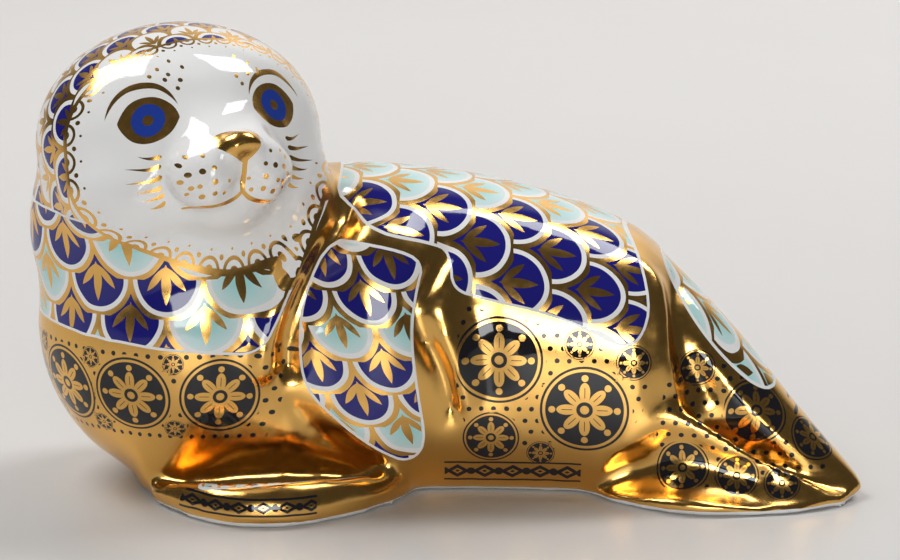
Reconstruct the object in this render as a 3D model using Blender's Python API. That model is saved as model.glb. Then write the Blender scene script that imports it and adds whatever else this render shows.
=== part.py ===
"""Porcelain seal paperweight: a seal pup on its belly, its head turned to look over its left flipper.

It is one slip-cast hollow body on a flat foot, open only at the round vent hole under it.
Metres, +Z up. +X runs to the tail, -Y is the seal's left side, and z = 0 is the table.
"""

import math

import bmesh
import bpy
import numpy as np
from mathutils import Matrix, Vector
from mathutils.bvhtree import BVHTree

MM = 0.001

# Main sizes: the body from breast to tail, across the trunk and up to its back, then the skull.
BODY_LENGTH = 128 * MM
BODY_WIDTH = 50 * MM
BACK_HEIGHT = 48 * MM
HEAD_WIDTH = 44.4 * MM
HEAD_RISE = 54.3 * MM

# Body forms are drawn on a seal 128 long, 50 wide and 48 high, head forms on a skull 44.4 wide.
# One drawn unit measures this much along, out from and up the body, and on the head.
ALONG = BODY_LENGTH / 128
OUT = BODY_WIDTH / 50
UP = BACK_HEIGHT / 48
BODY_UNITS = np.array((ALONG, OUT, UP))
HEAD_UNIT = HEAD_WIDTH / 44.4

# Skull, an ellipsoid that looks out sideways and a little up.
HEAD_CENTRE = Vector((-41.6 * ALONG, -6 * OUT, HEAD_RISE))
HEAD_RADII = (22.2, 21, 18)
HEAD_TURN = math.radians(24)
HEAD_LIFT = math.radians(10)

# Cheeks, muzzle, chin, whisker pads and nose, each placed across, forward and up from the skull's centre.
CHEEK_PLACE = (9.5, 5, -7)
CHEEK_RADII = (12, 14, 10.5)
MUZZLE_PLACE = (0, 16, -3.5)
MUZZLE_RADII = (11.5, 11.5, 8.2)
CHIN_PLACE = (0, 17, -10)
CHIN_RADII = (7.5, 7, 4.5)
PAD_PLACE = (4.7, 23.6, -5.2)
PAD_RADII = (5.9, 4.8, 5)
NOSE_PLACE = (0, 27.6, -0.9)
NOSE_RADII = (3.6, 2.6, 2.3)

# Breast and neck, the two masses under the skull, and the upper arm's mass against each flank.
BREAST_CENTRE = (-40, -2, 25)
BREAST_RADII = (24.3, 24, 26)
NECK_CENTRE = (-42.4, -3, 40.5)
NECK_RADII = (22.8, 21.5, 25)
ARM_CENTRE = (-11, 17, 22)
ARM_RADII = (12.5, 10, 22)

# Trunk: distance along the body, half width and height of the back, breast to tail.
TRUNK = [(-48, 17, 34), (-36, 23, 44), (-20, 25, 48), (-4, 24.5, 47.4), (10, 23.5, 45.2), (22, 22, 42),
         (30, 20.5, 38.4), (34, 16, 34.8), (38, 13, 31), (45.3, 10.5, 23.5), (53, 8, 14.2), (59, 5.5, 7.6),
         (64, 2, 2.6)]
TRUNK_RINGS = 40
TRUNK_ROUNDNESS = 2.3
BELLY_SINK = 0.12
TRUNK_SIDES = 64

# The body lies in a shallow bow, its head end and tail both swung to the left.
BOW_MIDDLE = -5 * ALONG
BOW_SHIFT = 4 * OUT
BOW_TO_HEAD = 12 * OUT / (55 * ALONG) ** 2
BOW_TO_TAIL = 20 * OUT / (68 * ALONG) ** 2

# Front flipper on the table: place along and out from the body, half width, height.
HAND = [(-6, 19, 3, 4.5), (-12, 22.5, 7, 6), (-22, 26.5, 9.5, 6.4), (-32, 25.5, 9.5, 6.2),
        (-40, 20, 7.5, 5.2), (-46, 14, 4, 3)]
HAND_PROFILE = [(-1, -0.4), (-1, 0.85), (-0.4, 0.42), (0.1, 0.5), (0.55, 1), (0.85, 0.85), (1, 0.4),
                (0.9, -0.4)]

# Hind flipper beside the tail, in the same measures.
HIND = [(21, 12, 7, 3), (26, 13.5, 9.5, 9), (33.5, 14.5, 10.5, 14.6), (42.5, 13.5, 10, 10), (50, 11, 8.5, 6),
        (57, 8, 6, 3), (62, 4, 3, 1.8)]
HIND_PROFILE = [(-1, -0.3), (-0.8, 0.7), (-0.1, 0.7), (0.25, 1), (0.4, 0.6), (0.65, 0.24), (0.95, 0.16),
                (0.98, -0.3)]
FLIPPER_SIDES = 24
FLIPPER_RINGS = 22

# Rolls of clay laid along each flank and over the flippers: (along, up, radius) points.
SHOULDER_FOLD = [(-17.5, 43.5, 1), (-19.5, 41, 2.4), (-23, 36, 3.1), (-26.5, 30, 3.3), (-28.2, 24.5, 3.2),
                 (-28.4, 20.5, 2.6)]
ELBOW_FOLD = [(0.5, 36, 0.8), (-1.6, 32, 1.6), (-1, 27, 1.9), (1.2, 21, 1.7), (2.6, 13, 0.8)]
WRIST_FOLD = [(-21.5, 19, 0.5), (-15, 12, 1.1), (-9, 7.5, 0.9)]
HIP_FOLD = [(28.5, 37, 0.8), (31, 33, 1.8), (32.2, 25, 1.9), (33.5, 14, 1.7)]
HIND_RIDGE = [(21.5, 4.5, 0.8), (26, 9.5, 1.3), (33.5, 14, 1.7), (42, 9.6, 1.4), (50, 5.6, 1.2),
              (57, 2.6, 0.8)]
TAIL_EDGE = [(36.5, 26, 0.8), (40, 20.5, 1.5), (48, 11.8, 1.8), (56, 5, 1.5)]
BODY_ROLLS = [SHOULDER_FOLD, ELBOW_FOLD, HIP_FOLD, TAIL_EDGE]
FLIPPER_ROLLS = [WRIST_FOLD, HIND_RIDGE]
ROLL_SINK = 0.25
ROLL_SIDES = 14
ROLL_EASING = 6

# Hollows pressed into each flank beside the folds: (along, up) points, depth, width.
FLANK_HOLLOWS = [
    ([(-15.5, 44.5), (-18.8, 39.4), (-22.4, 31.5), (-24, 26), (-24.2, 21.5)], 2.2, 1.5),
    ([(-0.5, 39), (-3.1, 34.6), (-5.4, 31.2), (-4.2, 27), (-1.4, 21), (0.3, 14)], 1.6, 1.2),
    ([(4, 33), (5, 27), (6, 18)], 0.8, 2.4),
    ([(-24.5, 16.5), (-18, 9.5), (-11, 5.6)], 0.9, 1.3),
    ([(35, 33), (35.2, 26), (36.4, 21), (39, 17)], 1.4, 1.7),
    ([(27.5, 5), (36, 7), (46, 4.6)], 1.8, 2.8),
]

# Lines and hollows pressed into the face: (across, up) points from the skull's centre, depth, width.
EYE_SPREAD = 10.2
EYE_RISE = 5
MOUTH = [
    ([(0, -2.5), (0, -7)], 1, 0.8),
    ([(0, -7), (3.5, -8.6), (8, -8.2)], 0.8, 0.7),
    ([(0, -7), (-3.5, -8.6), (-8, -8.2)], 0.8, 0.7),
]
EYE_SOCKETS = [
    ([(side * EYE_SPREAD - 2, EYE_RISE), (side * EYE_SPREAD + 2, EYE_RISE)], 0.8, 4) for side in (-1, 1)
]

# Slip-cast wall, foot and vent hole. The trunk meets the table over a share of its width.
WALL = 4.5 * MM
FOOT_SHARE = 0.69
FOOT_RIM = 4.5 * MM
FOOT_RECESS = 0.8 * MM
VENT_RADIUS = 5 * MM
VENT_PLACE = -8
VENT_SIDES = 36

# Fineness of the clay model and of the finished solid.
CLAY = 0.8 * MM
SOFT_PASSES = 34
FINE_PASSES = 7
OUTER_TRIANGLES = 9000
HOLLOW_SIDES = 28


def curve_through(points, count):
    """count points on the smooth curve through the given points."""
    p = np.array(points, float)
    p = np.vstack([2 * p[0] - p[1], p, 2 * p[-1] - p[-2]])
    along = np.linspace(0, len(points) - 1, count)
    i = np.minimum(along.astype(int), len(points) - 2)
    f = (along - i)[:, None]
    a, b, c, d = p[i], p[i + 1], p[i + 2], p[i + 3]
    return 0.5 * (2 * b + (c - a) * f + (2 * a - 5 * b + 4 * c - d) * f**2 + (3 * b - a - 3 * c + d) * f**3)


def bow(along):
    """How far the body's middle line lies to its right at a distance along it."""
    away = along - BOW_MIDDLE
    return BOW_SHIFT - np.where(away > 0, BOW_TO_TAIL, BOW_TO_HEAD) * away**2


def add_loft(clay, rings):
    """Skins a row of closed rings of points, and closes both ends."""
    loops = [[clay.verts.new(point) for point in ring] for ring in rings]
    for near, far in zip(loops, loops[1:]):
        for i in range(len(near)):
            clay.faces.new((near[i - 1], near[i], far[i], far[i - 1]))
    clay.faces.new(loops[0])
    clay.faces.new(loops[-1])


def on_body(place, side=0):
    """A drawn place on the body, out from its bowed middle line where a side is given."""
    x, y, z = np.array(place) * BODY_UNITS
    return Vector((x, bow(x) + side * y, z)) if side else Vector((x, y, z))


def add_pellet(clay, centre, radii, turn, fineness=4):
    """Adds an ellipsoid of clay."""
    place = Matrix.Translation(centre) @ turn.to_4x4() @ Matrix.Diagonal(Vector(radii)).to_4x4()
    bmesh.ops.create_icosphere(clay, subdivisions=fineness, radius=1, matrix=place)


def trunk_rings(inset, floor, sides):
    """Rings of the trunk, drawn in by the inset, none of them lower than the floor."""
    rings = []
    for along, half_width, back in curve_through(TRUNK, TRUNK_RINGS) * BODY_UNITS:
        half_width = half_width - inset
        top = back - inset
        if half_width < inset or top < floor + inset:
            continue
        half_height = (top + BELLY_SINK * back) / 2
        middle = top - half_height
        ring = []
        for turn in np.linspace(0, 2 * math.pi, sides, endpoint=False):
            across, up = math.cos(turn), math.sin(turn)
            across = math.copysign(abs(across) ** (2 / TRUNK_ROUNDNESS), across) * half_width
            up = math.copysign(abs(up) ** (2 / TRUNK_ROUNDNESS), up) * half_height
            ring.append((along, bow(along) + across, max(middle + up, floor)))
        rings.append(ring)
    return rings


def flipper_rings(stations, profile, side):
    """Rings of a flipper: its profile, scaled and set out from the body at each station."""
    outline = curve_through(profile, FLIPPER_SIDES)
    rings = []
    for along, out, half_width, height in curve_through(stations, FLIPPER_RINGS) * (ALONG, OUT, OUT, UP):
        rings.append([(along, bow(along) + side * (out + half_width * o), height * u) for o, u in outline])
    return rings


def head_turn():
    """Columns point across the face, back from it and up."""
    return (Matrix.Rotation(HEAD_TURN, 3, "Z") @ Matrix.Rotation(-HEAD_LIFT, 3, "X")).to_3x3()


def on_head(place, side=1):
    """A place drawn across, forward and up from the skull's centre, mirrored for side -1."""
    across, forward, up = place
    return HEAD_CENTRE + head_turn() @ Vector((side * across, -forward, up)) * HEAD_UNIT


def head_size(radii):
    return Vector(radii) * HEAD_UNIT


def add_roll(clay, skin, roll, side):
    """Lays a tapering roll of clay on one flank of the skin, sunk a little into it."""
    points = curve_through(roll, 6 * len(roll)) * (ALONG, UP, OUT)
    spine, radii = [], []
    for along, up, radius in points:
        hit = skin.ray_cast((along, side, up), (0, -side, 0))[0]
        if hit:
            spine.append(hit - Vector((0, side * radius * ROLL_SINK, 0)))
            radii.append(radius)
    for _ in range(ROLL_EASING):
        inner = [(a + 2 * b + c) / 4 for a, b, c in zip(spine, spine[1:], spine[2:])]
        spine = [spine[0]] + inner + [spine[-1]]
    rings = []
    for i, (middle, radius) in enumerate(zip(spine, radii)):
        heading = spine[min(i + 1, len(spine) - 1)] - spine[max(i - 1, 0)]
        turn = heading.to_track_quat("Z", "Y")
        angles = np.linspace(0, 2 * math.pi, ROLL_SIDES, endpoint=False)
        rings.append([middle + turn @ Vector((math.cos(a), math.sin(a), 0)) * radius for a in angles])
    add_loft(clay, rings)


def block_out():
    """The big masses, all running into each other: trunk, arms, breast, neck, skull and muzzle."""
    clay = bmesh.new()
    straight = Matrix.Identity(3)
    turned = head_turn()
    add_loft(clay, trunk_rings(0, -1, TRUNK_SIDES))
    add_pellet(clay, on_body(BREAST_CENTRE), BREAST_RADII * BODY_UNITS, straight)
    add_pellet(clay, on_body(NECK_CENTRE), NECK_RADII * BODY_UNITS, straight)
    add_pellet(clay, HEAD_CENTRE, head_size(HEAD_RADII), turned)
    add_pellet(clay, on_head(MUZZLE_PLACE), head_size(MUZZLE_RADII), turned)
    add_pellet(clay, on_head(CHIN_PLACE), head_size(CHIN_RADII), turned)
    for side in (-1, 1):
        add_pellet(clay, on_body(ARM_CENTRE, side), ARM_RADII * BODY_UNITS, straight)
        add_pellet(clay, on_head(CHEEK_PLACE, side), head_size(CHEEK_RADII), turned)
    return clay


def add_details(made):
    """Adds the flippers, the folds of skin, the whisker pads and the nose to the smoothed masses."""
    clay = bmesh.new()
    clay.from_mesh(made.data)
    turned = head_turn()
    bare_skin = BVHTree.FromBMesh(clay)
    for side in (-1, 1):
        add_loft(clay, flipper_rings(HAND, HAND_PROFILE, side))
        add_loft(clay, flipper_rings(HIND, HIND_PROFILE, side))
    skin_with_flippers = BVHTree.FromBMesh(clay)
    for side in (-1, 1):
        for roll in BODY_ROLLS:
            add_roll(clay, bare_skin, roll, side)
        for roll in FLIPPER_ROLLS:
            add_roll(clay, skin_with_flippers, roll, side)
    for side in (-1, 1):
        add_pellet(clay, on_head(PAD_PLACE, side), head_size(PAD_RADII), turned)
    add_pellet(clay, on_head(NOSE_PLACE), head_size(NOSE_RADII), turned)
    bmesh.ops.recalc_face_normals(clay, faces=clay.faces)
    clay.to_mesh(made.data)
    clay.free()


def new_object(name, shape):
    mesh = bpy.data.meshes.new(name)
    shape.to_mesh(mesh)
    shape.free()
    made = bpy.data.objects.new(name, mesh)
    bpy.context.scene.collection.objects.link(made)
    return made


def apply_modifiers(made):
    bpy.context.view_layer.update()
    graph = bpy.context.evaluated_depsgraph_get()
    made.data = bpy.data.meshes.new_from_object(made.evaluated_get(graph), depsgraph=graph)
    made.modifiers.clear()


def fuse(made, passes):
    """Runs overlapping pieces together into one even skin and smooths the joins."""
    remesh = made.modifiers.new("fuse", "REMESH")
    remesh.mode = "VOXEL"
    remesh.voxel_size = CLAY
    smooth = made.modifiers.new("smooth", "SMOOTH")
    smooth.factor = 0.5
    smooth.iterations = passes
    apply_modifiers(made)


def distance_to_line(points, line):
    """Distance of each 2D point from a smooth line through a few points."""
    line = curve_through(line, 8 * len(line))
    starts, steps = line[:-1], np.diff(line, axis=0)
    away = points[:, None, :] - starts
    share = np.clip((away * steps).sum(2) / (steps**2).sum(1), 0, 1)
    return np.linalg.norm(away - share[..., None] * steps, axis=2).min(1)


def press_hollows(made, hollows, origin, across, up, facing, units):
    """Sinks the skin along lines drawn on the plane of across and up, where it faces out of it.

    The units are those of the drawing across and up, and of its depths and widths.
    """
    count = len(made.data.vertices)
    points = np.empty(count * 3, np.float32)
    normals = np.empty(count * 3, np.float32)
    made.data.vertices.foreach_get("co", points)
    made.data.vertex_normals.foreach_get("vector", normals)
    points = points.reshape(-1, 3).astype(float)
    normals = normals.reshape(-1, 3).astype(float)
    away = points - np.array(origin)
    drawn = np.stack([away @ np.array(across), away @ np.array(up)], axis=1)
    facing_share = np.clip((normals @ np.array(facing) - 0.05) / 0.35, 0, 1)
    for line, depth, width in hollows:
        fade = np.exp(-((distance_to_line(drawn, np.array(line) * units[:2]) / (width * units[2])) ** 2))
        points -= normals * (depth * units[2] * fade * facing_share)[:, None]
    made.data.vertices.foreach_set("co", points.astype(np.float32).ravel())
    made.data.update()


def sculpt(made):
    """Presses the hollows beside the folds, the mouth and the eye sockets into the skin."""
    for side in (-1, 1):
        flank = ((0, 0, 0), (1, 0, 0), (0, 0, 1), (0, side, 0), (ALONG, UP, OUT))
        press_hollows(made, FLANK_HOLLOWS, *flank)
    across, back, up = head_turn().col
    face = (HEAD_CENTRE, across, up, -back, (HEAD_UNIT, HEAD_UNIT, HEAD_UNIT))
    press_hollows(made, MOUTH + EYE_SOCKETS, *face)


def cut_foot(made):
    """Cuts the underside flat where the body stands on the table."""
    skin = bmesh.new()
    skin.from_mesh(made.data)
    everything = skin.verts[:] + skin.edges[:] + skin.faces[:]
    bmesh.ops.bisect_plane(skin, geom=everything, plane_co=(0, 0, 0), plane_no=(0, 0, 1), clear_inner=True)
    rim = [edge for edge in skin.edges if edge.is_boundary]
    bmesh.ops.holes_fill(skin, edges=rim, sides=0)
    bmesh.ops.triangulate(skin, faces=skin.faces)
    skin.to_mesh(made.data)
    skin.free()


def thin_out(made):
    """Leaves only the facets that the curves need."""
    thin = made.modifiers.new("thin", "DECIMATE")
    thin.ratio = OUTER_TRIANGLES / len(made.data.polygons)
    thin.use_collapse_triangulate = True
    apply_modifiers(made)


def add_cutter(name, shape):
    bmesh.ops.recalc_face_normals(shape, faces=shape.faces)
    made = new_object(name, shape)
    made.hide_render = True
    made.display_type = "WIRE"
    return made


def foot_recess():
    """A flat plate that leaves a rim standing round the middle of the foot."""
    stations = curve_through(TRUNK, TRUNK_RINGS) * BODY_UNITS
    half_widths = stations[:, 1] * FOOT_SHARE - FOOT_RIM
    wide_enough = half_widths > FOOT_RIM / 2
    plate = bmesh.new()
    rings = []
    for along, half_width in zip(stations[wide_enough, 0], half_widths[wide_enough]):
        sides = (bow(along) - half_width, bow(along) + half_width)
        bottom = [(along, out, -FOOT_RECESS) for out in sides]
        top = [(along, out, FOOT_RECESS) for out in reversed(sides)]
        rings.append(bottom + top)
    add_loft(plate, rings)
    return plate


def hollow_cutters():
    """The space that the drained slip left, the recess inside the foot rim and the vent hole."""
    floor = FOOT_RECESS + WALL
    trunk = bmesh.new()
    add_loft(trunk, trunk_rings(WALL, floor, HOLLOW_SIDES))
    neck = bmesh.new()
    add_pellet(neck, on_body(NECK_CENTRE), NECK_RADII * BODY_UNITS - WALL, Matrix.Identity(3), 3)
    skull = bmesh.new()
    add_pellet(skull, HEAD_CENTRE, np.array(head_size(HEAD_RADII)) - WALL, head_turn(), 3)
    vent = bmesh.new()
    vent_along = VENT_PLACE * ALONG
    place = Matrix.Translation((vent_along, bow(vent_along), floor / 2))
    size = {"radius1": VENT_RADIUS, "radius2": VENT_RADIUS, "depth": 2 * floor}
    bmesh.ops.create_cone(vent, cap_ends=True, segments=VENT_SIDES, matrix=place, **size)
    shapes = {"body_space": trunk, "neck_space": neck, "head_space": skull}
    shapes.update({"foot_recess": foot_recess(), "vent_hole": vent})
    return [add_cutter(name, shape) for name, shape in shapes.items()]


def centre(seal, cutters):
    """Moves everything sideways together, so that the origin lies under the middle of the seal."""
    corners = np.array([vertex.co for vertex in seal.data.vertices])
    middle = (corners.min(0) + corners.max(0)) / 2
    for made in [seal] + cutters:
        made.data.transform(Matrix.Translation((-middle[0], -middle[1], 0)))


def porcelain():
    made = bpy.data.materials.new("porcelain")
    made.use_nodes = True
    shader = made.node_tree.nodes["Principled BSDF"]
    shader.inputs["Base Color"].default_value = (0.72, 0.5, 0.2, 1)
    shader.inputs["Roughness"].default_value = 0.12
    shader.inputs["Metallic"].default_value = 0.6
    return made


def main():
    for old in list(bpy.data.objects):
        bpy.data.objects.remove(old)
    seal = new_object("seal", block_out())
    fuse(seal, SOFT_PASSES)
    add_details(seal)
    fuse(seal, FINE_PASSES)
    sculpt(seal)
    cut_foot(seal)
    thin_out(seal)
    cutters = hollow_cutters()
    centre(seal, cutters)
    for cutter in cutters:
        cut = seal.modifiers.new(cutter.name, "BOOLEAN")
        cut.operation = "DIFFERENCE"
        cut.object = cutter
    seal.data.materials.append(porcelain())
    seal.data.shade_smooth()


main()
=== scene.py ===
"""Looks of the porcelain seal paperweight: its glaze, enamels and burnished gold, on a pale floor."""

import math

import bmesh
import bpy
import numpy as np
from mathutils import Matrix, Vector
from mathutils.bvhtree import BVHTree


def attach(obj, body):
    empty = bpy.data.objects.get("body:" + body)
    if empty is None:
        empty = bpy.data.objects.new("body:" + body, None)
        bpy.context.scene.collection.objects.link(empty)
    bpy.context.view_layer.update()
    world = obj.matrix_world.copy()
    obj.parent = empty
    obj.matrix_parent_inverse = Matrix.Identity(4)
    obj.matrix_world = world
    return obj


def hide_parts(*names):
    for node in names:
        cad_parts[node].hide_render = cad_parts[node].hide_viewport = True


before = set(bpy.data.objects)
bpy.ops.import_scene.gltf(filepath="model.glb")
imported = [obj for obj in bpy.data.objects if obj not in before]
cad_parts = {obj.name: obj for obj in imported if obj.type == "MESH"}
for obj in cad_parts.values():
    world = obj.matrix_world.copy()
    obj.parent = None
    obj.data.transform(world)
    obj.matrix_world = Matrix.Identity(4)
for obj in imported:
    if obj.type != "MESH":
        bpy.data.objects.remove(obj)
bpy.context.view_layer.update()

# The seal is one hollow slip-cast body of porcelain, fired white, glazed all over and then painted. Its
# form is the cast solid's own, evened out so that the glaze flows over it without facets. It stands loose
# on its foot rim.
MM = 0.001
MERGE_DISTANCE = 0.001 * MM
FOOT_TOP = 0.81 * MM
GLAZE_SKIN = 0.77 * MM
GLAZE_PASSES = 10
EVENING = 0.5

seal = bpy.data.objects.new("seal_glazed", bpy.data.meshes.new("seal_glazed"))
bpy.context.scene.collection.objects.link(seal)
cast = bmesh.new()
cast.from_mesh(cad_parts["seal"].data)
bmesh.ops.remove_doubles(cast, verts=cast.verts, dist=MERGE_DISTANCE)
cast.to_mesh(seal.data)

# Its outer side is all that can be reached from the crown without crossing the foot.
cast.faces.index_update()
crown = max(cast.faces, key=lambda face: face.calc_center_median().z)
reached = {crown}
waiting = [crown]
while waiting:
    for edge in waiting.pop().edges:
        for face in edge.link_faces:
            if face not in reached and max(vert.co.z for vert in face.verts) > FOOT_TOP:
                reached.add(face)
                waiting.append(face)
outer_faces = np.array([face in reached for face in cast.faces], float)
cast_tree = BVHTree.FromBMesh(cast)
cast.free()

skin = seal.modifiers.new("skin", "REMESH")
skin.mode = "VOXEL"
skin.voxel_size = GLAZE_SKIN
flow = seal.modifiers.new("flow", "SMOOTH")
flow.factor = EVENING
flow.iterations = GLAZE_PASSES
bpy.context.view_layer.update()
graph = bpy.context.evaluated_depsgraph_get()
seal.data = bpy.data.meshes.new_from_object(seal.evaluated_get(graph), depsgraph=graph)
seal.modifiers.clear()

# The broad swells of the body are polished smooth before firing, and its creases are left crisp.
POLISH_PASSES = 60
BLUR_PASSES = 12
BEND_PASSES = 6
CREASE_BEND = 0.02 * MM
CREASE_LIMIT = 1.6


def even_out(points, edges, share, passes):
    """Moves points towards the mean of their neighbours, by a share that may differ between them."""
    ends, starts = np.concatenate([edges, edges[:, ::-1]]).T
    count = np.bincount(ends, minlength=len(points))[:, None]
    for _ in range(passes):
        sums = [np.bincount(ends, points[starts, axis], len(points)) for axis in range(3)]
        points = points + share * (np.stack(sums, 1) / count - points)
    return points


points = np.empty(len(seal.data.vertices) * 3, np.float32)
seal.data.vertices.foreach_get("co", points)
points = points.reshape(-1, 3).astype(float)
edges = np.empty(len(seal.data.edges) * 2, np.int32)
seal.data.edges.foreach_get("vertices", edges)
edges = edges.reshape(-1, 2)
broad = even_out(points, edges, EVENING, BLUR_PASSES)
bend = np.linalg.norm(even_out(broad, edges, EVENING, BEND_PASSES) - broad, axis=1)
bend = even_out(np.repeat(bend[:, None], 3, 1), edges, EVENING, BLUR_PASSES)[:, :1]
polish = EVENING * np.clip(CREASE_LIMIT - bend / CREASE_BEND, 0, 1)
points = even_out(points, edges, polish, POLISH_PASSES)

# The foot is ground flat, and its edge is rubbed even all round, sideways only.
FOOT_EDGE = (0.8 * MM, 1.6 * MM)
FOOT_PASSES = 30
SIDEWAYS = (1, 1, 0)
rubbed = EVENING * np.clip((FOOT_EDGE[1] - points[:, 2]) / (FOOT_EDGE[1] - FOOT_EDGE[0]), 0, 1)
points = even_out(points, edges, rubbed[:, None] * SIDEWAYS, FOOT_PASSES)
points[:, 2] = np.maximum(points[:, 2], 0)

# The whisker pads are worked back round the muzzle, a little closer than the mould leaves them. The face
# has its own directions from the middle of the skull: across, forward and up, in mm. The pads' ranges say
# where in each direction the work starts and where it is full.
SKULL = np.array((-40.8, -8, 54.3))
FACE_TURN = math.radians(24)
FACE_LIFT = math.radians(10)
FACE_ACROSS = np.array((math.cos(FACE_TURN), math.sin(FACE_TURN), 0))
FACE_FRONT = np.array((math.sin(FACE_TURN), -math.cos(FACE_TURN), 0)) * math.cos(FACE_LIFT)
FACE_FRONT[2] = math.sin(FACE_LIFT)
FACE_UP = np.cross(FACE_FRONT, FACE_ACROSS)
PAD_ACROSS = (4, 9.5)
PAD_FORWARD = (18, 22.5)
PAD_UP = (-15, -11)
PAD_WRAP = 1.8
PAD_NARROW = 0.06


def ease(values, start, end):
    """Runs smoothly from 0 at the start to 1 at the end."""
    share = np.clip((values - start) / (end - start), 0, 1)
    return share * share * (3 - 2 * share)


from_skull = points / MM - SKULL
off_middle = from_skull @ FACE_ACROSS
wrapped = ease(np.abs(off_middle), *PAD_ACROSS) * ease(from_skull @ FACE_FRONT, *PAD_FORWARD)
wrapped = (wrapped * ease(from_skull @ FACE_UP, *PAD_UP))[:, None]
points = points - wrapped * MM * (PAD_WRAP * FACE_FRONT + PAD_NARROW * off_middle[:, None] * FACE_ACROSS)
seal.data.vertices.foreach_set("co", points.astype(np.float32).ravel())
seal.data.update()
seal.data.shade_smooth()

# The painting is planned on the body's own lines, in mm: along its bowed back, round its neck and round
# its face. The back bows aside by 12 mm in the 55 mm to the head and by 20 mm in the 68 mm to the tail.
NECK = np.array((-41.6, -5))
BOW_MIDDLE = -4.2
BOW_SHIFT = 2
BOW_TO_HEAD = 12 / 55**2
BOW_TO_TAIL = 20 / 68**2
TRUNK_RISE = 20
TRUNK_RADIUS = 24
CORNER_CUT = 0.25
CORNER_CUTS = 2


def keep(name, values):
    """Stores one number, or one vector, for each point of the skin, for the painting to read."""
    kind, item = ("FLOAT", "value") if values.ndim == 1 else ("FLOAT_VECTOR", "vector")
    stored = seal.data.attributes.new(name, kind, "POINT")
    stored.data.foreach_set(item, values.astype(np.float32).ravel())


def rounded(corners):
    """A closed field's corners, each cut off a little way along its sides, as often as CORNER_CUTS says."""
    for _ in range(CORNER_CUTS):
        ends = np.roll(corners, -1, axis=0)
        after = (1 - CORNER_CUT) * corners + CORNER_CUT * ends
        before = CORNER_CUT * corners + (1 - CORNER_CUT) * ends
        corners = np.stack([after, before], 1).reshape(-1, 2)
    return corners.tolist()


def inside(across, up, corners):
    """How far each point lies inside a closed field with these corners, and less than 0 outside it."""
    corners = rounded(np.array(corners, float))
    nearest = np.full(len(across), np.inf)
    crossed = np.zeros(len(across), bool)
    for (ax, ay), (bx, by) in zip(corners, corners[1:] + corners[:1]):
        dx, dy = bx - ax, by - ay
        share = np.clip(((across - ax) * dx + (up - ay) * dy) / (dx * dx + dy * dy), 0, 1)
        nearest = np.minimum(nearest, np.hypot(across - ax - share * dx, up - ay - share * dy))
        if dy:
            crossed ^= ((ay > up) != (by > up)) & (across < ax + (up - ay) * dx / dy)
    return np.where(crossed, nearest, -nearest)


# Corners of the painted fields: (along, up) from the side, but (along, across) from above for the hands,
# whose fields also have a least and a greatest height.
SADDLE = [
    (-18, 47.5), (-13, 42.5), (-2, 39.5), (0.6, 38), (1, 33), (6, 31.5), (14, 30), (21, 27.5),
    (27, 24.5), (30, 26), (31.5, 31), (29, 40), (20, 46), (0, 54), (-10, 54),
]
ARM = [
    (-17.5, 41), (-8, 40), (-3, 37.5), (-4.2, 33), (-5, 27), (-4, 18), (-2.6, 9), (-5.5, 6),
    (-10, 8.5), (-15.5, 12.5), (-21.5, 18.5), (-22.3, 26), (-21.5, 33),
]
TAIL = [(32.5, 40), (34, 33.5), (38, 27), (43, 21), (48.5, 16.5), (52, 17), (51, 26), (40, 42)]
HAND = [
    (-38, -26.6), (-30, -27.6), (-20, -26.6), (-12, -25), (-12, -27.5), (-18, -31.2), (-24, -33.4),
    (-30, -33.2), (-36, -30),
]
HAND_RISE = (4.4, 9)
FLANK = [
    (1.6, 31.5), (6, 30), (14, 28.4), (21, 25.9), (27, 22.9), (30.5, 24), (31, 15), (24, 8), (1.8, 7.6),
]
RUMP = [
    (33.6, 23), (41, 21.5), (49, 19), (56, 12.5), (60, 6.6), (57, 4.4), (46, 3.4), (34, 3.8),
    (31.6, 9), (33, 16),
]

x, y, z = (points / MM).T
from_bow = x - BOW_MIDDLE
beside = y - BOW_SHIFT + np.where(from_bow > 0, BOW_TO_TAIL, BOW_TO_HEAD) * from_bow**2
in_hollow = np.minimum(z - HAND_RISE[0], HAND_RISE[1] - z)
keep("beside", beside)
keep("girth", TRUNK_RADIUS * np.abs(np.arctan2(beside, z - TRUNK_RISE)))
keep("saddle", inside(x, z, SADDLE))
keep("arm", inside(x, z, ARM))
keep("tail", inside(x, z, TAIL))
keep("hand", np.minimum(inside(x, -np.abs(beside), HAND), in_hollow))
keep("flank", np.maximum(inside(x, z, FLANK), inside(x, z, RUMP)))
keep("outer", np.array([outer_faces[cast_tree.find_nearest(point)[2]] for point in points.tolist()]))

# Places of the rosettes: (along, up, radius) on the flanks and tail, (turn, up, radius) round the breast,
# and one on the back of the head.
FLANK_ROSETTES = [
    (8.2, 22.6, 6.2), (21.2, 15, 6.3), (7, 10.2, 4), (20.4, 25.2, 2.2), (14.6, 7.6, 2), (28.6, 22.5, 2.5),
    (38.6, 20.4, 2.6), (47.6, 14.2, 4.6), (56.4, 9.6, 3.6), (36.2, 6, 3.8), (44.4, 5, 3.1), (51.2, 4.2, 2.6),
]
BREAST_ROSETTES = [(turn, 18, 5.7) for turn in range(-196, 21, 36)]
BREAST_BUDS = [(turn, up, 1.5) for turn in range(-178, 21, 36) for up in (12.6, 23.4)]
CROWN_RADIUS = 7
OUTSIDE = 90
FAR_OFF = 9.0

skin_shape = bmesh.new()
skin_shape.from_mesh(seal.data)
skin_tree = BVHTree.FromBMesh(skin_shape)
skin_shape.free()
rosette = np.full((len(points), 3), FAR_OFF)


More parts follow.
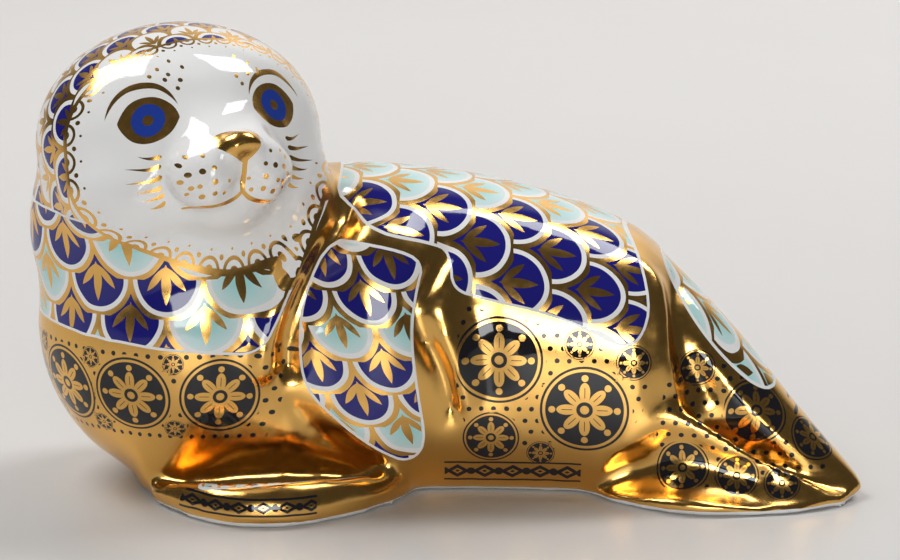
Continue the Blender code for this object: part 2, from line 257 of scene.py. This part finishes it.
def place_rosette(aim, outwards, right, radius):
    """Draws a rosette's own measures, in shares of its radius, on the skin straight out from a place."""
    start = Vector(aim) * MM + Vector(outwards) * OUTSIDE * MM
    hit, normal = skin_tree.ray_cast(start, -Vector(outwards))[:2]
    normal = np.array(normal)
    right = np.array(right) - normal * np.dot(right, normal)
    right = right / np.linalg.norm(right)
    from_hit = (points - np.array(hit)) / MM / radius
    far = np.linalg.norm(from_hit, axis=1)
    drawn = np.column_stack([from_hit @ right, from_hit @ np.cross(normal, right), far])
    nearer = far < rosette[:, 2]
    rosette[nearer] = drawn[nearer]


for side in (-1, 1):
    for back, high, radius in FLANK_ROSETTES:
        place_rosette((back, 0, high), (0, side, 0), (-side, 0, 0), radius)
for degrees, high, radius in BREAST_ROSETTES + BREAST_BUDS:
    outwards = (math.sin(math.radians(degrees)), -math.cos(math.radians(degrees)), 0)
    place_rosette((*NECK, high), outwards, (outwards[1], -outwards[0], 0), radius)
back_of_head = (-math.sin(FACE_TURN), math.cos(FACE_TURN), 0)
place_rosette(SKULL, back_of_head, (back_of_head[1], -back_of_head[0], 0), CROWN_RADIUS)
keep("rosette", rosette)

# The painting is overglaze enamel in flat fields, gilded round and over them and then burnished. Each
# pigment has a number, and a later coat covers the earlier ones.
GOLD, WHITE, COBALT, MINT, BLACK, IRIS, BISQUE = range(7)
PIGMENTS = {
    GOLD: (0.86, 0.5, 0.14),
    WHITE: (0.84, 0.84, 0.83),
    COBALT: (0.013, 0.012, 0.18),
    MINT: (0.38, 0.71, 0.71),
    BLACK: (0.012, 0.011, 0.014),
    IRIS: (0.015, 0.045, 0.3),
    BISQUE: (0.78, 0.77, 0.74),
}
ROUGHNESS = {GOLD: 0.2, WHITE: 0.06, BISQUE: 0.6}

glaze = bpy.data.materials.new("painted_porcelain")
glaze.use_nodes = True
tree = glaze.node_tree


class Field:
    """A number, or a place, that varies over the skin and is worked out by the material's nodes."""

    def __init__(self, socket):
        self.socket = socket

    def __add__(self, other):
        return number("ADD", self, other)

    def __sub__(self, other):
        return number("SUBTRACT", self, other)

    def __mul__(self, other):
        return number("MULTIPLY", self, other)

    def __truediv__(self, other):
        return number("DIVIDE", self, other)

    def __mod__(self, other):
        return number("FLOORED_MODULO", self, other)

    def __lt__(self, other):
        return number("LESS_THAN", self, other)

    def __gt__(self, other):
        return number("GREATER_THAN", self, other)

    def __radd__(self, other):
        return number("ADD", other, self)

    def __rsub__(self, other):
        return number("SUBTRACT", other, self)

    def __rmul__(self, other):
        return number("MULTIPLY", other, self)

    def __abs__(self):
        return number("ABSOLUTE", self)


def plug(socket, value):
    """Gives a node's input a field or a plain value."""
    if isinstance(value, Field):
        tree.links.new(value.socket, socket)
    else:
        socket.default_value = value


def number(operation, *inputs):
    """One step of arithmetic on fields and plain numbers."""
    node = tree.nodes.new("ShaderNodeMath")
    node.operation = operation
    for socket, value in zip(node.inputs, inputs):
        plug(socket, value)
    return Field(node.outputs[0])


def place_sum(operation, *inputs):
    """One step of arithmetic on a place, which gives another place."""
    node = tree.nodes.new("ShaderNodeVectorMath")
    node.operation = operation
    for socket, value in zip(node.inputs, inputs):
        plug(socket, value)
    return Field(node.outputs["Vector"])


def both(*masks):
    """The least of some fields: over 0 only where they all are."""
    joined = masks[0]
    for mask in masks[1:]:
        joined = number("MINIMUM", joined, mask)
    return joined


def either(*masks):
    """The greatest of some fields: over 0 wherever any of them is."""
    joined = masks[0]
    for mask in masks[1:]:
        joined = number("MAXIMUM", joined, mask)
    return joined


def length(*sides):
    """The distance that these sides at right angles span."""
    return number("SQRT", sum(side * side for side in sides))


def choose(mask, there, elsewhere):
    """One number where the mask is 1 and another where it is 0."""
    node = tree.nodes.new("ShaderNodeMix")
    plug(node.inputs["Factor"], mask)
    plug(node.inputs["A"], elsewhere)
    plug(node.inputs["B"], there)
    return Field(node.outputs["Result"])


def coat(paint, mask, pigment):
    """The paint with a coat of a pigment over it where the mask is 1."""
    return choose(mask, pigment, paint)


def turned(across, up, angle):
    """Two measures at right angles, turned by some degrees."""
    radians = math.radians(angle)
    return (
        across * math.cos(radians) + up * math.sin(radians),
        up * math.cos(radians) - across * math.sin(radians),
    )


def kept(name, output="Fac"):
    """A field that was stored on the skin."""
    node = tree.nodes.new("ShaderNodeAttribute")
    node.attribute_name = name
    return Field(node.outputs[output])


def parts(place):
    """The three measures of a place."""
    node = tree.nodes.new("ShaderNodeSeparateXYZ")
    plug(node.inputs[0], place)
    return [Field(output) for output in node.outputs]


def noise(node_tree, place, scale, detail):
    """A cloudy pattern over a piece, with so many finer layers in it."""
    node = node_tree.nodes.new("ShaderNodeTexNoise")
    node.inputs["Scale"].default_value = scale
    node.inputs["Detail"].default_value = detail
    node_tree.links.new(place, node.inputs["Vector"])
    return node


# The brush wavers a little, so every line is drawn on measures that waver with it.
BRUSH_WAVER = 0.3
WAVER_NOISE = (0.3, 0)
object_place = Field(tree.nodes.new("ShaderNodeTexCoord").outputs["Object"])
place_mm = place_sum("MULTIPLY", object_place, (1 / MM,) * 3)
waver = Field(noise(tree, place_mm.socket, *WAVER_NOISE).outputs["Color"])
brush_place = place_sum("MULTIPLY_ADD", waver, (BRUSH_WAVER,) * 3, place_mm)
along, deep, rise = parts(brush_place)


def measured_along(direction, origin):
    """Distance from a place along a direction, in mm."""
    node = tree.nodes.new("ShaderNodeVectorMath")
    node.operation = "DOT_PRODUCT"
    plug(node.inputs[0], brush_place)
    plug(node.inputs[1], direction)
    return Field(node.outputs["Value"]) - float(np.dot(direction, origin))


def leaf(across, up, long, wide):
    """Over 0 within a pointed leaf that grows up from the origin."""
    share = up / long
    return share * (1 - share) * (4 * wide) - abs(across)


# Scales have a gilt edge, a white rim and a sprig of three leaves. A leaf is given by how far above the
# scale's middle it starts, its length and its width, in shares of the scale's radius. Each painted part's
# shift slides its scales along by some mm.
GILT = 0.42
WHITE_RIM = 0.75
FIELD_EDGE = 0.4
WASH_REACH = 0.75
SPRIG_INSIDE = 0.5
MIDDLE_LEAF = (0.4, 1.05, 0.13)
SIDE_LEAF = (0.34, 0.82, 0.1)
SIDE_LEAF_TURN = -40
SPOT_DROP = 0.3
SPOT_RADIUS = 0.17


def scale_field(paint, wash, field, across, down, radius, pigment, sprig=True):
    """Overlapping scales that hang down a field, each in one pigment, with a sprig or else a gold spot."""
    row = number("FLOOR", down / radius)
    below = down - row * radius
    shifted = across + (row % 2) * radius
    beside = shifted - number("ROUND", shifted / (2 * radius)) * (2 * radius)
    over = length(beside, below)
    front = over < radius
    beside = choose(front, beside, beside - number("SIGN", beside) * radius)
    below = choose(front, below, below - radius)
    row = row + 1 - front
    column = number("ROUND", (across - beside) / radius)
    to_edge = radius - length(beside, below)
    paint = coat(paint, field > 0, pigment(row, column))
    wash = choose(field > 0, 1 - to_edge / (WASH_REACH * radius), wash)
    paint = coat(paint, both(to_edge < GILT + WHITE_RIM, field > 0), WHITE)
    paint = coat(paint, both(abs(over - radius) < GILT, field > 0), GOLD)
    if sprig:
        start, long, wide = (share * radius for share in MIDDLE_LEAF)
        middle = leaf(beside, below + start, long, wide)
        start, long, wide = (share * radius for share in SIDE_LEAF)
        sides = leaf(*turned(abs(beside), below + start, SIDE_LEAF_TURN), long, wide)
        gilded = either(middle, sides) > 0
    else:
        gilded = length(beside, below - SPOT_DROP * radius) < SPOT_RADIUS * radius
    paint = coat(paint, both(gilded, field > SPRIG_INSIDE), GOLD)
    return coat(paint, both(field > 0, field < FIELD_EDGE), WHITE), wash


def one_in_three(row, rare, common):
    """One pigment in every third row and another in the rest."""
    return choose(row % 3 < 0.5, rare, common)


# The ground is gold, with a line of bare white glaze along the table.
FOOT_LINE = 1.0
paint = choose(rise < FOOT_LINE, WHITE, GOLD)
wash = 0.0

# The saddle is cobalt scales that run back from the shoulders, with mint ones along the spine.
SADDLE_RADIUS = 5.8
SADDLE_SHIFT = 1
SPINE_COLUMNS = 1.5
paint, wash = scale_field(
    paint, wash, kept("saddle"), kept("girth"), along + SADDLE_SHIFT, SADDLE_RADIUS,
    lambda row, column: choose(column < SPINE_COLUMNS, MINT, COBALT),
)

# The arms have rows of scales that hang towards the hand, two of cobalt to one of mint.
ARM_RADIUS = 5.2
ARM_TOP = 44
ARM_LEAN = 0.3
ARM_SHIFT = 2
paint, wash = scale_field(
    paint, wash, kept("arm"), along + ARM_LEAN * rise + ARM_SHIFT, ARM_TOP - rise, ARM_RADIUS,
    lambda row, column: one_in_three(row, MINT, COBALT),
)

# The tail has one broad column of mint scales that ends in a point.
TAIL_RADIUS = 4.6
middle_line = kept("beside")
paint, wash = scale_field(
    paint, wash, kept("tail"), middle_line, along, TAIL_RADIUS, lambda row, column: MINT
)

# The hollow of each hand has small scales, in rows of cobalt and mint by turns.
HAND_RADIUS = 2.4
paint, wash = scale_field(
    paint, wash, kept("hand"), deep, along, HAND_RADIUS,
    lambda row, column: choose(row % 2, MINT, COBALT), sprig=False,
)

# A collar of pendant scales hangs below the face, two of cobalt to one of mint. Its hem rises a little
# towards the breast, and it ends in a rounded corner at the shoulder.
COLLAR_TOP = 46
COLLAR_DEEP = 20.5
COLLAR_HEM_SLOPE = 0.09
COLLAR_HEM_LEVEL = -40
COLLAR_END = -18.5
COLLAR_END_SLOPE = 0.45
COLLAR_END_TOP = 44
COLLAR_CORNER = 4
COLLAR_SCALES = 24
COLLAR_RADIUS = 5.9
COLLAR_SHIFT = 2


def rounded_corner(inwards, sideways, radius):
    """Distance inside two edges that meet in a rounded corner."""
    return radius - length(either(radius - inwards, 0), either(radius - sideways, 0))


round_neck = number("ARCTAN2", along - NECK[0], NECK[1] - deep)
collar_across = round_neck * (COLLAR_SCALES * COLLAR_RADIUS / math.pi / 2)
collar_down = COLLAR_TOP - rise
collar_hem = COLLAR_DEEP - collar_down + COLLAR_HEM_SLOPE * (along - COLLAR_HEM_LEVEL)
collar_end = COLLAR_END - along - COLLAR_END_SLOPE * (COLLAR_END_TOP - rise)
collar = both(collar_down, rounded_corner(collar_hem, collar_end, COLLAR_CORNER))
paint, wash = scale_field(
    paint, wash, collar, collar_across, collar_down + COLLAR_SHIFT, COLLAR_RADIUS,
    lambda row, column: one_in_three(row + number("FLOOR", column / 2), MINT, COBALT),
)

# A hood of small scales spreads back from the face, two rows of cobalt to one of white.
HOOD_HEM = 45
HOOD_BACK = -19.8
HOOD_SCALES = 16
HOOD_RADIUS = 3.9
HEAD_RADIUS = 22
CROWN_EDGE = math.radians(150)
across = measured_along(FACE_ACROSS, SKULL)
forward = measured_along(FACE_FRONT, SKULL)
up = measured_along(FACE_UP, SKULL)
out = length(across, forward, up)
from_front = number("ARCCOSINE", forward / out)
round_face = number("ARCTAN2", up, across)
hood = both(rise - HOOD_HEM, HOOD_BACK - along, (CROWN_EDGE - from_front) * HEAD_RADIUS)
hood_across = round_face * (HOOD_SCALES * HOOD_RADIUS / math.pi)
paint, wash = scale_field(
    paint, wash, hood, hood_across, from_front * HEAD_RADIUS, HOOD_RADIUS,
    lambda row, column: one_in_three(row, WHITE, COBALT),
)

# Rosettes are scratched through black to the gold under it: eight petals, a button and a ring of beads.
# Their lengths are shares of the rosette's radius.
PETALS = 8
PETAL_BASE = 0.26
PETAL_LENGTH = 0.42
PETAL_POINT = 0.8
PETAL_START = 0.2
VEIN_HALF = 0.012
VEIN_ENDS = (0.3, 0.56)
BEAD_RING = 0.79
BEAD_SPREAD = 0.62
BEAD_RADIUS = 0.085
BUTTON_RADIUS = 0.11
DISC_RADIUS = 0.95
OUTLINE = (1.02, 1.08)
ROSETTE_EDGE = 1.1
rose_across, rose_up, rose_out = parts(kept("rosette", "Vector"))
rose_far = length(rose_across, rose_up)
rose_turn = number("ARCTAN2", rose_up, rose_across)
swell = number("POWER", abs(number("COSINE", rose_turn * (PETALS / 2))), PETAL_POINT)
petal = PETAL_BASE + PETAL_LENGTH * swell
bead_turn = (rose_turn * (PETALS / (2 * math.pi)) + 0.5) % 1 - 0.5
beads = length(rose_far - BEAD_RING, bead_turn * BEAD_SPREAD) < BEAD_RADIUS
vein = both(abs(bead_turn) * rose_far < VEIN_HALF, rose_far > VEIN_ENDS[0], rose_far < VEIN_ENDS[1])
petals = both(rose_far > PETAL_START, petal > rose_far, 1 - vein)
disc = rose_far < DISC_RADIUS
on_rosette = rose_out < ROSETTE_EDGE
blacked = either(disc, both(rose_far > OUTLINE[0], rose_far < OUTLINE[1]))
paint = coat(paint, both(on_rosette, paint < GOLD + 0.5, blacked), BLACK)
paint = coat(paint, both(on_rosette, disc, either(petals, rose_far < BUTTON_RADIUS, beads)), GOLD)

# Between the rosettes the gold of the flanks and the breast is dotted with black.
DOT_SPACING = 1.9
DOT_RADIUS = 0.2
CLEAR_OF_ROSETTE = 1.16
BREAST_BAND = (10.5, 25.2)
BREAST_END = -21
BREAST_END_SLOPE = 0.4
BREAST_END_TOP = 26
BREAST_GIRTH = 22


def dotted_ground(paint, field, across, up):
    """Small black dots in staggered rows over whatever is still gold, clear of the rosettes."""
    row = number("ROUND", up / DOT_SPACING)
    shifted = across / DOT_SPACING + row * 0.5
    dot = length(shifted - number("ROUND", shifted), up / DOT_SPACING - row) < DOT_RADIUS
    return coat(paint, both(dot, field > 0, rose_out > CLEAR_OF_ROSETTE, paint < GOLD + 0.5), BLACK)


breast_end = BREAST_END - along - BREAST_END_SLOPE * (BREAST_END_TOP - rise)
breast = both(rise - BREAST_BAND[0], BREAST_BAND[1] - rise, breast_end)
paint = dotted_ground(paint, kept("flank"), along, rise)
paint = dotted_ground(paint, breast, round_neck * BREAST_GIRTH, rise)

# Borders of black lozenges run along the flanks and round the edge of each hand. A border is given by
# its two ends, how far out and how high it runs, and a lozenge's length and half height.
BORDERS = [((0, 21), 8, 4.3, 4.2, 1.2), ((-45, -19), 26, 3.4, 3.6, 0.9)]
LOZENGE_SLOPE = 2.1
LOZENGE_LINE = 0.55
LOZENGE_HEART = 0.8
BORDER_DOT = 0.16
RULE_RISE = 1.35
RULE_HALF = 0.16


def lozenge_band(paint, ends, outside, height, long, high):
    """A black border of lozenges with gold middles between two lines, on a gold ground."""
    field = both(along - ends[0], ends[1] - along, abs(middle_line) - outside)
    up = rise - height
    tile = (along / long) % 1 - 0.5
    lozenge = 1 - abs(tile) * LOZENGE_SLOPE - abs(up) / high
    outline = either(both(lozenge > 0, lozenge < LOZENGE_LINE), lozenge > LOZENGE_HEART)
    dot = BORDER_DOT - length(0.5 - abs(tile), up / long)
    rules = abs(abs(up) - RULE_RISE * high) < RULE_HALF
    return coat(paint, both(either(outline, dot > 0, rules), field > 0), BLACK)


for border in BORDERS:
    paint = lozenge_band(paint, *border)

# The face is left white inside a border of gilt lace. It is not quite in the middle of the head.
FACE_HALF_WIDE = math.radians(71)
FACE_HALF_HIGH = math.radians(53)
FACE_RADIUS = 24
FACE_OUT = 34
HEAD_END = -18.4
HEAD_END_SLOPE = 0.35
HEAD_END_TOP = 46
LACE_ARCHES = 32
LACE_WIDE = 4.6
LACE_EDGE = (-0.4, 0.38)
ARCH_RADIUS = 1.75
ARCH_LINE = 0.27
ARCH_HEART = 0.75
PENDANT = (1.9, 0.42)
LACE_BEAD = (3, 0.24)
face_turn = number("ARCTAN2", across, forward)
face_lift = number("ARCSINE", up / out)
of_head = HEAD_END - along - HEAD_END_SLOPE * (HEAD_END_TOP - rise)
face_oval = (1 - length(face_turn / FACE_HALF_WIDE, face_lift / FACE_HALF_HIGH)) * FACE_RADIUS
white_face = both(face_oval, FACE_OUT - out, of_head)
lace_across = ((round_face * (LACE_ARCHES / (2 * math.pi))) % 1 - 0.5) * LACE_WIDE
arch = length(lace_across, white_face)
paint = coat(paint, white_face > 0, WHITE)
lace = either(
    abs(arch - ARCH_RADIUS) < ARCH_LINE,
    arch < ARCH_HEART,
    length(LACE_WIDE / 2 - abs(lace_across), white_face - PENDANT[0]) < PENDANT[1],
    length(lace_across, white_face - LACE_BEAD[0]) < LACE_BEAD[1],
    white_face < LACE_EDGE[1],
)
paint = coat(paint, both(lace, white_face > LACE_EDGE[0]), GOLD)

# The eyes are almonds of gold round a blue iris, under a brow drawn with one stroke of the brush.
FACE_MIDDLE = -0.55
EYE = (9.95, 17, 3.9)
EYE_OUT = (0.876, -0.482, 0)
EYE_UP = (-0.18, -0.328, 0.927)
EYE_TILT = 0.03
LIDS = (4.98, 1.33)
IRIS_RADIUS = 2.6
PUPIL_RADIUS = 0.84
BROW = (0.9, -0.4)
BROW_RADIUS = 5.9
BROW_HALF = 0.5
BROW_MIDDLE = 0.12
BROW_SWEEP = 1.25
INSIDE_LACE = 2.5
sided = abs(across - FACE_MIDDLE)


def on_face(direction):
    """Distance along a direction from the eye, nearly the same on both halves of the face."""
    tilted = up - EYE_TILT * across
    return sum(d * (c - p) for d, c, p in zip(direction, (sided, forward, tilted), EYE) if d)


eye_across = on_face(EYE_OUT)
eye_up = on_face(EYE_UP)
eye_far = length(eye_across, eye_up)
on_head = white_face > INSIDE_LACE
lids = LIDS[0] - length(eye_across, abs(eye_up) + LIDS[1])
paint = coat(paint, both(lids > 0, on_head), GOLD)
paint = coat(paint, both(eye_far < IRIS_RADIUS, on_head), IRIS)
paint = coat(paint, both(eye_far < PUPIL_RADIUS, on_head), GOLD)
brow_across = eye_across - BROW[0]
brow_up = eye_up - BROW[1]
brow_share = (number("ARCTAN2", brow_across, brow_up) - BROW_MIDDLE) / BROW_SWEEP
brow_wide = BROW_HALF * (1 - brow_share * brow_share)
brow = brow_wide - abs(length(brow_across, brow_up) - BROW_RADIUS)
paint = coat(paint, both(brow > 0, on_head), GOLD)

# Each cheek has six whisker strokes, from (across, up) to (across, up), higher and further out on the
# right of the face than on the left. The pads and the forehead are dotted: (across, up, radius).
WHISKERS = [
    ((9.0, -2.3), (12.2, -2.0)),
    ((9.2, -3.7), (14.0, -3.8)),
    ((9.2, -5.2), (14.3, -6.0)),
    ((9.3, -6.7), (12.9, -7.3)),
    ((9.0, -7.8), (12.0, -8.7)),
    ((8.8, -9.0), (11.0, -9.9)),
]
WHISKER_WIDE = 0.42
WHISKER_SAG = 1.1
WHISKER_RISE = (0.3, 1.35)
WHISKER_SPREAD = 1.8
PAD_DOTS = [
    (4, -3.9, 0.35), (5.6, -4.3, 0.43), (7.3, -4.7, 0.42), (8.1, -5.8, 0.36), (8, -3.3, 0.33),
    (7.1, -2.2, 0.27), (5.1, -2.1, 0.3), (4, -5.9, 0.42), (5.9, -6.5, 0.33), (1.7, -6, 0.27),
    (2.2, -7.7, 0.3), (3.8, -7.6, 0.36), (5.4, -8.1, 0.4), (6.9, -6.8, 0.36), (7.2, -7.7, 0.25),
]
FOREHEAD_DOTS = [
    (7.1, 10.9, 0.27), (5.8, 10.1, 0.3), (4.4, 9.1, 0.33), (6.5, 9.3, 0.33), (8.4, 9.9, 0.3),
    (5, 7.9, 0.3), (5.1, 12, 0.27), (3.6, 11, 0.27),
]
CHEEK_FORWARD = (12, 22.6)
level = up - WHISKER_RISE[0] - WHISKER_RISE[1] * (across > 0)
spread = sided - WHISKER_SPREAD * (across > 0)
marks = []
for (x0, y0), (x1, y1) in WHISKERS:
    long = math.hypot(x1 - x0, y1 - y0)
    share = ((spread - x0) * (x1 - x0) + (level - y0) * (y1 - y0)) / long**2
    off = ((spread - x0) * (y0 - y1) + (level - y0) * (x1 - x0)) / long + WHISKER_SAG * share * (1 - share)
    stroke = both((1 - share) * WHISKER_WIDE - abs(off), share * long - off * off / WHISKER_WIDE)
    marks.append(both(stroke, forward - CHEEK_FORWARD[0], CHEEK_FORWARD[1] - forward))
for x0, y0, radius in PAD_DOTS + FOREHEAD_DOTS:
    marks.append(both(radius - length(sided - x0, up - y0), forward - CHEEK_FORWARD[0]))
paint = coat(paint, both(either(*marks) > 0, on_head), GOLD)

# The nose is a burnished wedge, and a thin gilt line parts the lip and follows the mouth.
NOSE_HALF = 3.15
NOSE_FOOT = -4.2
NOSE_TOP = 1.2
NOSE_ARCH = 0.09
NOSE_SHOULDER = -1.2
NOSE_TAPER = 1.25
NOSE_LEAN = 0.4
NOSE_FORWARD = 23.5
PARTING = 0.45
PARTING_HALF = 0.36
PARTING_ENDS = (-8, -3)
PARTING_FORWARD = 22
MOUTH_ENDS = 7.6
MOUTH_LEVEL = -9.8
MOUTH_PEAK = 2
MOUTH_PEAK_HALF = 1.6
MOUTH_LINE = 0.4
MOUTH_THINNING = 0.035
MOUTH_FORWARD = 15
below_shoulder = either(NOSE_SHOULDER - up, 0)
nose_across = abs(across - FACE_MIDDLE - NOSE_LEAN * below_shoulder)
wedge = NOSE_HALF - nose_across - NOSE_TAPER * below_shoulder
nose_top = NOSE_TOP - NOSE_ARCH * nose_across * nose_across - up
nose = both(wedge, up - NOSE_FOOT, nose_top, forward - NOSE_FORWARD)
to_parting = abs(across - PARTING)
parting = both(
    PARTING_HALF - to_parting, up - PARTING_ENDS[0], PARTING_ENDS[1] - up, forward - PARTING_FORWARD
)
lip = up - MOUTH_LEVEL - MOUTH_PEAK * number("EXPONENT", to_parting / -MOUTH_PEAK_HALF)
mouth_line = MOUTH_LINE - MOUTH_THINNING * to_parting - abs(lip)
mouth = both(mouth_line, MOUTH_ENDS - to_parting, forward - MOUTH_FORWARD)
paint = coat(paint, either(nose, parting, mouth) > 0, GOLD)

# Under the foot and inside there is only white glaze, but for the bare rim that it stands on.
RIM_TOUCH = 0.03
paint = coat(paint, kept("outer") < 0.5, WHITE)
paint = coat(paint, parts(place_mm)[2] < RIM_TOUCH, BISQUE)

# The mint thins towards each scale's rim, and both gold and glaze lie on a surface that isn't quite even.
WASH_STRENGTH = 0.75
UNEVEN_NOISE = (0.09, 3)
UNEVEN_STRENGTH = 0.35
UNEVEN_HEIGHT = 0.35 * MM
BURNISH_NOISE = (0.8, 4)
BURNISH_VARIES = 0.16
palette = tree.nodes.new("ShaderNodeValToRGB")
sheen = tree.nodes.new("ShaderNodeValToRGB")
greys = {pigment: (roughness,) * 3 for pigment, roughness in ROUGHNESS.items()}
for ramp, colours in ((palette, PIGMENTS), (sheen, greys)):
    stops = ramp.color_ramp.elements
    ramp.color_ramp.interpolation = "CONSTANT"
    stops.remove(stops[-1])
    for pigment, colour in colours.items():
        stop = stops.new((pigment - 0.5) / len(PIGMENTS)) if pigment else stops[0]
        stop.color = (*colour, 1)
    plug(ramp.inputs[0], paint / len(PIGMENTS))
is_mint = both(paint > MINT - 0.5, paint < MINT + 0.5)
fade = tree.nodes.new("ShaderNodeMix")
fade.data_type = "RGBA"
plug(fade.inputs[0], both(either(wash, 0), 1) * is_mint * WASH_STRENGTH)
tree.links.new(palette.outputs[0], fade.inputs["A"])
fade.inputs["B"].default_value = (*PIGMENTS[WHITE], 1)

uneven = noise(tree, brush_place.socket, *UNEVEN_NOISE)
burnish = noise(tree, brush_place.socket, *BURNISH_NOISE)
relief = tree.nodes.new("ShaderNodeBump")
relief.inputs["Strength"].default_value = UNEVEN_STRENGTH
relief.inputs["Distance"].default_value = UNEVEN_HEIGHT
tree.links.new(uneven.outputs["Fac"], relief.inputs["Height"])
is_gold = paint < GOLD + 0.5

shader = tree.nodes["Principled BSDF"]
tree.links.new(fade.outputs["Result"], shader.inputs["Base Color"])
tree.links.new(relief.outputs["Normal"], shader.inputs["Normal"])
plug(shader.inputs["Metallic"], is_gold)
plug(
    shader.inputs["Roughness"],
    Field(sheen.outputs[0]) + is_gold * BURNISH_VARIES * (Field(burnish.outputs["Fac"]) - 0.5),
)
seal.data.materials.clear()
seal.data.materials.append(glaze)

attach(seal, "root")
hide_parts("seal")

# The floor is a plain pale table top that curves up into the wall behind it, both of painted matt board.
# It is there only for the picture, and nothing is fixed to it.
FLOOR_WIDTH = 3.0
FLOOR_FRONT = -0.5
WALL_AWAY = 1.1
WALL_HEIGHT = 1.6
CURVE_RADIUS = 0.5
CURVE_STEPS = 24
BOARD_DARK = (0.62, 0.605, 0.59, 1)
BOARD_PALE = (0.66, 0.645, 0.63, 1)
BOARD_ROUGHNESS = 0.38
MOTTLE_NOISE = (9, 4)

sweep = bmesh.new()
profile = [(FLOOR_FRONT, 0)]
for step in range(CURVE_STEPS + 1):
    curved = math.pi / 2 * step / CURVE_STEPS
    curve_away = WALL_AWAY - CURVE_RADIUS + CURVE_RADIUS * math.sin(curved)
    profile.append((curve_away, CURVE_RADIUS * (1 - math.cos(curved))))
profile.append((WALL_AWAY, WALL_HEIGHT))
left_side = [sweep.verts.new((-FLOOR_WIDTH / 2, y, z)) for y, z in profile]
for near, far in zip(left_side, left_side[1:]):
    sweep.edges.new((near, far))
swept = bmesh.ops.extrude_edge_only(sweep, edges=sweep.edges)["geom"]
right_side = [part for part in swept if isinstance(part, bmesh.types.BMVert)]
bmesh.ops.translate(sweep, vec=(FLOOR_WIDTH, 0, 0), verts=right_side)
bmesh.ops.recalc_face_normals(sweep, faces=sweep.faces)
floor_mesh = bpy.data.meshes.new("floor")
sweep.to_mesh(floor_mesh)
sweep.free()
floor_mesh.shade_smooth()
floor = bpy.data.objects.new("floor", floor_mesh)
bpy.context.scene.collection.objects.link(floor)

board = bpy.data.materials.new("pale_board")
board.use_nodes = True
board_tree = board.node_tree
board_place = board_tree.nodes.new("ShaderNodeTexCoord")
mottle = noise(board_tree, board_place.outputs["Object"], *MOTTLE_NOISE)
tint = board_tree.nodes.new("ShaderNodeMix")
tint.data_type = "RGBA"
tint.inputs["A"].default_value = BOARD_DARK
tint.inputs["B"].default_value = BOARD_PALE
matt = board_tree.nodes["Principled BSDF"]
matt.inputs["Roughness"].default_value = BOARD_ROUGHNESS
board_tree.links.new(mottle.outputs["Fac"], tint.inputs["Factor"])
board_tree.links.new(tint.outputs["Result"], matt.inputs["Base Color"])
floor_mesh.materials.append(board)

# The lamps are soft boxes in a dark room: one overhead on the left, one behind the camera and one that
# lights the wall. Each has its place, what it aims at, its width and height in metres and its power.
LOOK_AT = Vector((0.76, -2, 30.5)) * MM
WALL_SPOT = Vector((0.1, 1.0, 0.35))
LAMPS = {
    "key": ((-0.5, 0.14, 0.82), LOOK_AT, (0.5, 0.5), 5.6),
    "front": ((0, -0.95, 0.25), LOOK_AT, (0.45, 0.3), 3.7),
    "wall": ((0.45, 0.4, 1.0), WALL_SPOT, (0.6, 0.6), 10),
}
ROOM_COLOUR = (0.06, 0.058, 0.055, 1)
for name, (lamp_place, aim, (wide, high), power) in LAMPS.items():
    light = bpy.data.lights.new(name, "AREA")
    light.shape = "RECTANGLE"
    light.size = wide
    light.size_y = high
    light.energy = power
    lamp = bpy.data.objects.new(name, light)
    lamp.location = lamp_place
    lamp.rotation_mode = "QUATERNION"
    lamp.rotation_quaternion = (Vector(lamp_place) - aim).to_track_quat("Z", "Y")
    bpy.context.scene.collection.objects.link(lamp)
room = bpy.data.worlds.new("room")
room.use_nodes = True
room.node_tree.nodes["Background"].inputs["Color"].default_value = ROOM_COLOUR
bpy.context.scene.world = room

# The camera looks along +Y from a little above, as the photograph was taken.
CAMERA_AWAY = 0.6
CAMERA_RISE = math.radians(13)
CAMERA_NEAR = 0.01
SENSOR_WIDTH = 36
PIXELS_ACROSS = 900
PIXELS_PER_MM = 6.4
camera = bpy.data.objects.new("camera", bpy.data.cameras.new("camera"))
bpy.context.scene.collection.objects.link(camera)
bpy.context.scene.camera = camera
to_camera = Vector((0, -math.cos(CAMERA_RISE), math.sin(CAMERA_RISE)))
camera.location = LOOK_AT + to_camera * CAMERA_AWAY
camera.rotation_mode = "QUATERNION"
camera.rotation_quaternion = to_camera.to_track_quat("Z", "Y")
camera.data.sensor_width = SENSOR_WIDTH
camera.data.lens = SENSOR_WIDTH * CAMERA_AWAY * PIXELS_PER_MM / MM / PIXELS_ACROSS
camera.data.clip_start = CAMERA_NEAR
bpy.context.scene.view_settings.view_transform = "Standard"
